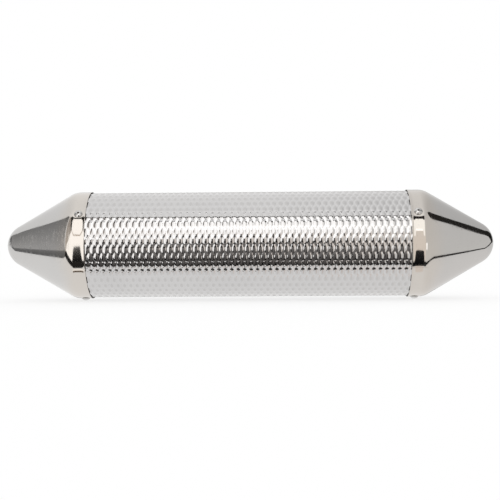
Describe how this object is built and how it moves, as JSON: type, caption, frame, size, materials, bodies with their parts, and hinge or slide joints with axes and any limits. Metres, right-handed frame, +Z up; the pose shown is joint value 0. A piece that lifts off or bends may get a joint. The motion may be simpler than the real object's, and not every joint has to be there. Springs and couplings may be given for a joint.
{
  "type": "guiro shaker",
  "caption": "Cylindrical steel guiro shaker: an embossed scraping tube with riveted cone caps at both ends and loose steel shot inside.",
  "frame": {"origin": "middle of the tube, on its axis", "axes": "+X along the tube's axis to the right as seen from the front, -Y towards the front, +Z up"},
  "size_m": [0.302, 0.0664, 0.0675],
  "materials": {
    "embossed_sheet": "bright polished steel, embossed with staggered grain-shaped bumps",
    "cap_sheet": "mirror polished nickel plate, faintly warm",
    "rivet": "bright nickel-plated blind rivet",
    "mandrel": "dark broken steel",
    "shot": "polished ball-bearing steel"
  },
  "bodies": {
    "shell": {"scraper_tube": "embossed_sheet", "left_cap": "cap_sheet", "right_cap": "cap_sheet", "left_front_rivet": "rivet", "left_back_rivet": "rivet", "left_bottom_rivet": "rivet", "right_front_rivet": "rivet", "right_back_rivet": "rivet", "right_bottom_rivet": "rivet", "left_front_mandrel": "mandrel", "left_back_mandrel": "mandrel", "left_bottom_mandrel": "mandrel", "right_front_mandrel": "mandrel", "right_back_mandrel": "mandrel", "right_bottom_mandrel": "mandrel"},
    "middle_shot": {"middle_shot_row": "shot"},
    "front_shot": {"front_shot_row": "shot"},
    "rear_shot": {"rear_shot_row": "shot"},
    "front_outer_shot": {"front_outer_shot_row": "shot"},
    "rear_outer_shot": {"rear_outer_shot_row": "shot"}
  },
  "joints": [
    {"name": "shot_roll", "type": "hinge", "parent": "shell", "child": "middle_shot", "pos_m": [0, 0, 0], "axis": [1, 0, 0], "continuous": true},
    {"name": "front_shot_slide", "type": "slide", "parent": "middle_shot", "child": "front_shot", "axis": [1, 0, 0], "range_m": [-0.066, 0.066]},
    {"name": "rear_shot_slide", "type": "slide", "parent": "middle_shot", "child": "rear_shot", "axis": [1, 0, 0], "range_m": [-0.066, 0.066]},
    {"name": "front_outer_shot_slide", "type": "slide", "parent": "middle_shot", "child": "front_outer_shot", "axis": [1, 0, 0], "range_m": [-0.066, 0.066]},
    {"name": "rear_outer_shot_slide", "type": "slide", "parent": "middle_shot", "child": "rear_outer_shot", "axis": [1, 0, 0], "range_m": [-0.066, 0.066]}
  ]
}
